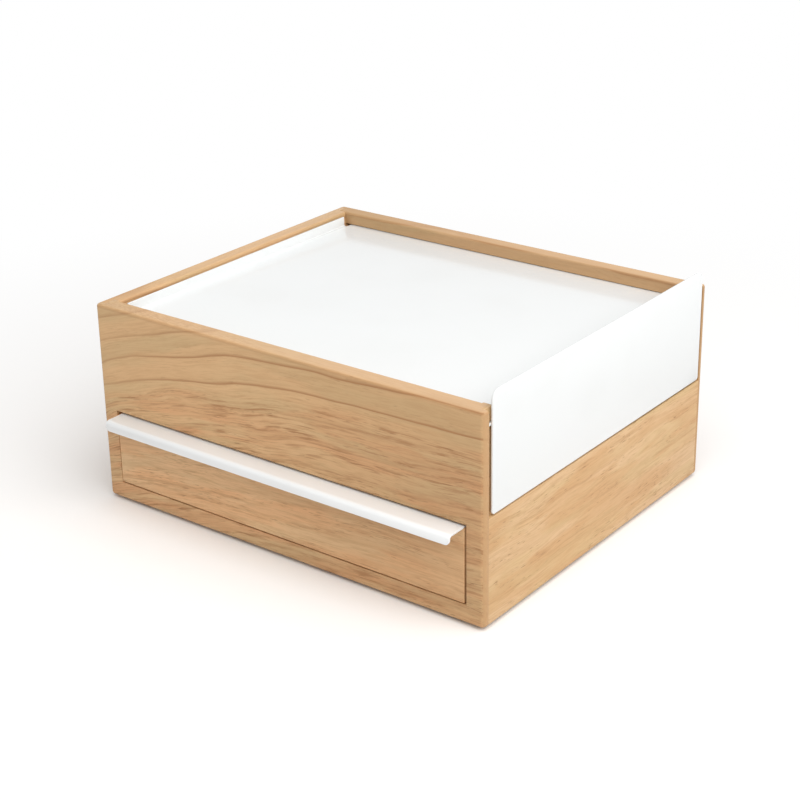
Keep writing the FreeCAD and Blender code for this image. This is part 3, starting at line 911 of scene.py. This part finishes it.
@dataclass
class RingRolls:
    """Foam rolls in sewn linen covers, which swell until they fill their places."""

    count: int = 5
    slack: float = 1.3               # millimetres that a cover starts inside its place
    end_round: float = 3.0           # millimetres of rounding at the ends
    weave_cell: float = 2.8          # millimetres between the cover's points
    crown_arc: int = 16              # steps round the crown
    foot_arc: int = 3                # steps round an edge of the foot
    end_arc: int = 4                 # steps round the edge of an end
    stations: int = 12               # sections of the straight stretch
    pressure: float = 4.0
    steps: int = 20                  # frames of the cloth simulation
    end_look: float = 0.75           # X of a face's direction past which it belongs to an end

    def section(self, width: float, height: float) -> np.ndarray:
        """Outline of a roll about the middle of its foot.

        Straight sides carry a half circle, and quarter circles round the foot's two edges.

        Args:
            width: from front to back, in millimetres.
            height: from foot to crown.

        Returns:
            Points by two, anticlockwise seen from +X.
        """
        radius = width / 2
        crown = np.linspace(0, math.pi, self.crown_arc + 1)
        foot = np.linspace(0, math.pi / 2, self.foot_arc + 1)
        small = self.end_round
        crown_points = np.stack([radius * np.cos(crown), height - radius + radius * np.sin(crown)], axis=1)
        front_foot = np.stack([-radius + small * (1 - np.cos(foot)), small * (1 - np.sin(foot))], axis=1)
        back_foot = np.stack([radius - small * (1 - np.sin(foot)), small * (1 - np.cos(foot))], axis=1)
        return np.concatenate([crown_points, front_foot, back_foot])

    def cover(self, node: str) -> bpy.types.Object:
        """The slack cover of one roll: its section carried along X and drawn in at both ends.

        Args:
            node: the roll's name.

        Returns:
            The cover, with its cells still to be evened.
        """
        low, high = (np.array(corner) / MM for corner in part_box(node))
        low, high = low + self.slack, high - self.slack
        turn = np.linspace(0, math.pi / 2, self.end_arc + 1)
        shift = self.end_round * (1 - np.cos(turn))
        inset = self.end_round * (1 - np.sin(turn))
        straight = np.linspace(low[0] + self.end_round, high[0] - self.end_round, self.stations)[1:-1]
        along = np.concatenate([low[0] + shift, straight, (high[0] - shift)[::-1]])
        shrink = np.concatenate([inset, np.zeros_like(straight), inset[::-1]])
        width, height = high[1] - low[1], high[2] - low[2]
        section = self.section(width, height)
        middle = np.array([0.0, height / 2])
        scale = 1 - shrink / (width / 2)
        flat = middle + (section - middle) * scale[:, None, None]
        rings = np.empty((*flat.shape[:2], 3))
        rings[..., 0] = along[:, None]
        rings[..., 1] = (low[1] + high[1]) / 2 + flat[..., 0]
        rings[..., 2] = low[2] + flat[..., 1]
        piece = bpy.data.objects.new(node + "_cover", tube_mesh(node + "_cover", rings * MM))
        bpy.context.scene.collection.objects.link(piece)
        remesh = piece.modifiers.new("even_cells", "REMESH")
        remesh.mode = "VOXEL"
        remesh.voxel_size = self.weave_cell * MM
        return piece

    def settle(self, piece: bpy.types.Object) -> None:
        """Take the modifiers' result as the piece's own mesh.

        Args:
            piece: the cover.
        """
        graph = bpy.context.evaluated_depsgraph_get()
        mesh = bpy.data.meshes.new_from_object(piece.evaluated_get(graph))
        piece.modifiers.clear()
        piece.data = mesh

    def stuff(self, covers: list[bpy.types.Object]) -> None:
        """Swell the covers as cloth under pressure, and stop each point at the end of its slack.

        Args:
            covers: the slack covers.
        """
        before = [read_points(piece.data) for piece in covers]
        for piece in covers:
            cloth = piece.modifiers.new("stuffing", "CLOTH")
            cloth.settings.use_pressure = True
            cloth.settings.uniform_pressure_force = self.pressure
            cloth.settings.effector_weights.gravity = 0.0
        for step in range(1, self.steps + 1):
            bpy.context.scene.frame_set(step)
        for piece, start in zip(covers, before):
            self.settle(piece)
            move = read_points(piece.data) - start
            length = np.linalg.norm(move, axis=1, keepdims=True)
            share = np.minimum(1.0, self.slack * MM / np.maximum(length, NO_LENGTH))
            piece.data.vertices.foreach_set("co", (start + move * share).ravel())
        bpy.context.scene.frame_set(1)

    def build(self, material: bpy.types.Material) -> None:
        """Make the rolls.

        Args:
            material: their linen.
        """
        nodes = [f"ring_roll_{number}" for number in range(1, self.count + 1)]
        covers = [self.cover(node) for node in nodes]
        for piece in covers:
            self.settle(piece)
        self.stuff(covers)
        for node, piece in zip(nodes, covers):
            self.map_cover(node, piece.data)
            piece.name = node + "_linen"
            piece.data.materials.clear()
            piece.data.materials.append(material)
            piece.data.shade_smooth()
            finer = piece.modifiers.new("finer", "SUBSURF")
            finer.levels = finer.render_levels = 1
            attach(piece, "case")
            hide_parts(node)
            log.info("case: %s", piece.name)

    def map_cover(self, node: str, mesh: bpy.types.Mesh) -> None:
        """Lay the cloth map over a roll.

        Along the roll the map is X. Across it, the map is the height on the straight sides and
        the radius times the angle over the crown. The ends take depth and height.

        Args:
            node: the roll's name.
            mesh: its mesh.
        """
        low, high = (np.array(corner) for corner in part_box(node))
        radius = (high[1] - low[1]) / 2
        shoulder = high[2] - radius
        places, looks = mesh_arrays(mesh)
        depth = places[:, 1] - (low[1] + high[1]) / 2
        lift = np.maximum(places[:, 2] - shoulder, 0.0)
        drop = np.maximum(shoulder - places[:, 2], 0.0)
        over = radius * np.arctan2(depth, lift) + np.sign(depth) * drop
        at_end = np.abs(looks[:, 0]) > self.end_look
        set_cloth_map(
            mesh, np.where(at_end, depth, places[:, 0]), np.where(at_end, places[:, 2], over))


# ---------------------------------------------------------------- studio
@dataclass
class Studio:
    """Pale floor, even sky, one soft lamp and the camera. Places and distances are in metres."""

    aim: Corner = (-0.0032, 0.0065, 0.0760)
    azimuth: float = 37.42           # degrees round from the front, to the right
    elevation: float = 22.21         # degrees, as the roll
    roll: float = -0.9575
    distance: float = 0.98
    focal_length: float = 79.74      # millimetres, as the sensor
    sensor: float = 36.0
    shift_up: float = -0.05          # share of the picture's width
    clip: Span = (0.05, 50.0)
    floor_size: float = 30.0
    floor_seen: Colour = WHITE
    floor_bounce: Colour = (0.82, 0.825, 0.83)
    floor_roughness: float = 0.9
    shadow_floor: Span = (0.22, 0.56)    # metres from the origin over which the floor whitens
    sky: float = 0.50
    lamp_way: Corner = (0.55, -0.24, 0.80)
    lamp_target: Corner = (0.0, 0.0, 0.06)
    lamp_distance: float = 2.0
    lamp_size: float = 2.4
    lamp_power: float = 42.4
    lamp_tint: Colour = (1.0, 0.985, 0.965)

    def directions(self) -> tuple[Vector, Vector, Vector]:
        """The camera's axes, turned by the roll about the last of them.

        Returns:
            The directions to its right, upwards and backwards.
        """
        turn, lift, tilt = (math.radians(value) for value in (self.azimuth, self.elevation, self.roll))
        back = Vector((
            math.sin(turn) * math.cos(lift), -math.cos(turn) * math.cos(lift), math.sin(lift)))
        right = Vector((math.cos(turn), math.sin(turn), 0.0))
        up = back.cross(right)
        tilted_right = right * math.cos(tilt) + up * math.sin(tilt)
        tilted_up = up * math.cos(tilt) - right * math.sin(tilt)
        return tilted_right, tilted_up, back

    def add_camera(self) -> None:
        """Put the camera where the object is seen from."""
        right, up, back = self.directions()
        data = bpy.data.cameras.new("camera")
        data.lens = self.focal_length
        data.sensor_width = self.sensor
        data.shift_y = self.shift_up
        data.clip_start, data.clip_end = self.clip
        camera = bpy.data.objects.new("camera", data)
        bpy.context.scene.collection.objects.link(camera)
        turned = Matrix((right, up, back)).transposed().to_4x4()
        camera.matrix_world = Matrix.Translation(Vector(self.aim) + back * self.distance) @ turned
        bpy.context.scene.camera = camera

    def add_lamp(self) -> None:
        """Add one large soft lamp that faces the object."""
        data = bpy.data.lights.new("softbox", "AREA")
        data.shape = "SQUARE"
        data.size = self.lamp_size
        data.energy = self.lamp_power
        data.color = self.lamp_tint
        lamp = bpy.data.objects.new("softbox", data)
        bpy.context.scene.collection.objects.link(lamp)
        way = Vector(self.lamp_way).normalized()
        facing = way.to_track_quat("Z", "Y").to_matrix().to_4x4()
        place = Vector(self.lamp_target) + way * self.lamp_distance
        lamp.matrix_world = Matrix.Translation(place) @ facing

    def add_sky(self) -> None:
        """Even white surroundings, seen as plain white and lighting at their own strength."""
        world = bpy.data.worlds.new("studio")
        bpy.context.scene.world = world
        world.use_nodes = True
        nodes, links = world.node_tree.nodes, world.node_tree.links
        background = nodes["Background"]
        background.inputs["Color"].default_value = (*WHITE, 1.0)
        rays = nodes.new("ShaderNodeLightPath")
        seen = nodes.new("ShaderNodeMath")
        seen.operation = "MAXIMUM"
        links.new(rays.outputs["Is Camera Ray"], seen.inputs[0])
        links.new(rays.outputs["Is Glossy Ray"], seen.inputs[1])
        strength = nodes.new("ShaderNodeMapRange")
        strength.inputs["To Min"].default_value = self.sky
        strength.inputs["To Max"].default_value = 1.0
        links.new(seen.outputs[0], strength.inputs["Value"])
        links.new(strength.outputs[0], background.inputs["Strength"])

    def add_floor(self) -> None:
        """A wide pale floor that takes the object's soft shadow and is plain white farther out."""
        half = self.floor_size / 2
        corners = [(-half, -half, 0.0), (half, -half, 0.0), (half, half, 0.0), (-half, half, 0.0)]
        mesh = bpy.data.meshes.new("floor")
        mesh.from_pydata(corners, [], [(0, 1, 2, 3)])
        shader = Shader("studio_floor")
        rays = shader.node("ShaderNodeLightPath")
        glossy = Signal(shader, rays.outputs["Is Glossy Ray"])
        seen = Signal(shader, rays.outputs["Is Camera Ray"]).most(glossy)
        x, y, _ = shader.axes()
        near, far = (value / MM for value in self.shadow_floor)
        distance = (x * x + y * y) ** 0.5
        plain = distance.between(near, far) * seen
        colour = shader.mix(seen, self.floor_bounce, self.floor_seen)
        shader.set(Base_Color=shader.mix(plain, colour, BLACK), Roughness=self.floor_roughness)
        shader.set(Specular_IOR_Level=0.0)
        shader.set(Emission_Color=shader.mix(plain, BLACK, self.floor_seen), Emission_Strength=1.0)
        new_object("floor", mesh, shader.material)

    def build(self) -> None:
        """Make the studio."""
        scene = bpy.context.scene
        scene.view_settings.view_transform = "Standard"
        self.add_camera()
        self.add_sky()
        self.add_floor()
        self.add_lamp()


# ---------------------------------------------------------------- the box
def outer_face(node: str, thin: Axis) -> float:
    """Where the face of a board that looks away from the box's middle lies.

    Args:
        node: the board's name.
        thin: the axis of its thickness.

    Returns:
        The coordinate in millimetres.
    """
    low, high = (corner[thin.value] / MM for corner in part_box(node))
    return low if -low > high else high


@dataclass
class Case:
    """The four lapped boards and what is let into them or stuck to them."""

    ease: float = 0.15
    panel_ease: float = 0.3

    def boards(self) -> dict[str, WoodFinish]:
        """The finishes of the four boards, each cut from another plank; the back board's colours are also
        darkened as painted shade on its inner face.

        Returns:
            A finish for each board's name.
        """
        return {
            # painted shade: the front board's rounding under its rim is darkened
            "front_board": WoodFinish(
                "front_board_wood", face=outer_face("front_board", Axis.Y), seed=2.0, climb=37.0,
                ripening=0.22, painted_edge_shade=0.35, streak_strength=1.0, fibre_strength=0.36),
            "right_board": WoodFinish(
                "right_board_wood", Grain.ALONG_Y, outer_face("right_board", Axis.X), seed=11.0,
                line_strength=0.3, line_origin=12.1, line_spacing=17.0, pale=(0.72, 0.490, 0.275),
                grey=(0.67, 0.465, 0.240), flush=(0.65, 0.395, 0.195), deep=(0.46, 0.25, 0.11),
                streak_strength=0.4, pore_strength=0.6),
            # painted shade: the back board's pale, grey and flush colours are darkened for the shade on its
            # inner face
            "back_board": WoodFinish(
                "back_board_wood_painted_shade", face=outer_face("back_board", Axis.Y), seed=23.0, line_spacing=18.0,
                pale=(0.56, 0.350, 0.180), grey=(0.51, 0.335, 0.170), flush=(0.54, 0.310, 0.155)),
            "left_board": WoodFinish(
                "left_board_wood", Grain.ALONG_Y, outer_face("left_board", Axis.X), seed=31.0,
                line_spacing=20.0),
        }

    def build(self) -> None:
        """Dress the case."""
        for node, finish in self.boards().items():
            eased_copy(node, "case", finish.material(), self.ease)
        ply = PlyFinish("panel_board").material()
        for node in ("base_board", "middle_shelf"):
            eased_copy(node, "case", ply, self.panel_ease)
        hard = WoodFinish("runner_wood", Grain.ALONG_Y, seed=41.0, line_strength=0.2).material()
        for node in ("left_runner", "right_runner", "drawer_stop"):
            eased_copy(node, "case", hard, self.panel_ease)
        dress("rubber_feet", rubber("foot_rubber").material())


@dataclass
class Tray:
    """What lines and divides the space over the shelf."""

    divider_edge: float = 1.7
    divider_crown: float = 0.25

    def build(self) -> None:
        """Make the linings, the dividers and the ring rolls."""
        linen = LinenFinish("natural_linen").material()
        for side, thin in (
                ("floor", Axis.Z), ("front", Axis.Y), ("back", Axis.Y), ("left", Axis.X), ("right", Axis.X)):
            CoveredCard(f"tray_{side}_lining", "case", thin).build(linen)
        for kind, thin in (("long", Axis.X), ("ring", Axis.Y), ("cross", Axis.Y)):
            CoveredCard(
                f"{kind}_divider", "case", thin, self.divider_edge, self.divider_crown).build(linen)
        RingRolls().build(linen)


@dataclass
class Lid:
    """The sliding plate, its side panel and its stops."""

    ease: float = 0.3

    def build(self) -> None:
        """Dress the lid."""
        paint = PaintFinish("white_paint").material()
        for node in ("lid_plate", "lid_side_panel"):
            eased_copy(node, "lid", paint, self.ease)
        dress("lid_stops", rubber("stop_rubber").material())


@dataclass
class Drawer:
    """The drawer, its lining and its pull."""

    ease: float = 0.3

    def build(self) -> None:
        """Dress the drawer."""
        # painted light: the drawer front's pale, grey and flush colours are raised to make up for the pull's
        # shadow on it
        front = WoodFinish(
            "drawer_front_wood_painted_light", seed=5.0, ripening=0.27, line_origin=46.5, climb=20.0, line_strength=0.25,
            streak_strength=0.45, pale=(0.80, 0.510, 0.270), grey=(0.74, 0.495, 0.265),
            flush=(0.78, 0.450, 0.225)).material()
        side = WoodFinish("drawer_side_wood", Grain.ALONG_Y, seed=51.0, line_strength=0.3).material()
        back = WoodFinish("drawer_back_wood", seed=57.0, line_strength=0.3).material()
        ply = PlyFinish("drawer_bottom_ply").material()
        # painted light: the pull's coat is paler than the lid's same white coat, to brighten the pull's top
        # that the front board shades
        paint = PaintFinish("pull_paint_painted_light", (0.89, 0.905, 0.91)).material()
        for node, finish in (
                ("drawer_front", front), ("drawer_left_side", side), ("drawer_right_side", side),
                ("drawer_back", back), ("drawer_bottom", ply), ("drawer_pull", paint)):
            eased_copy(node, "drawer", finish, self.ease)
        dress("pull_screws", zinc_plating("screw_plating").material())
        linen = LinenFinish("drawer_linen", seed=9.0).material()
        CoveredCard("drawer_lining", "drawer", Axis.Z).build(linen)


def main() -> None:
    """Build every piece."""
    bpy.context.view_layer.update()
    Studio().build()
    Case().build()
    Tray().build()
    Lid().build()
    Drawer().build()


if __name__ == "__main__":
    main()
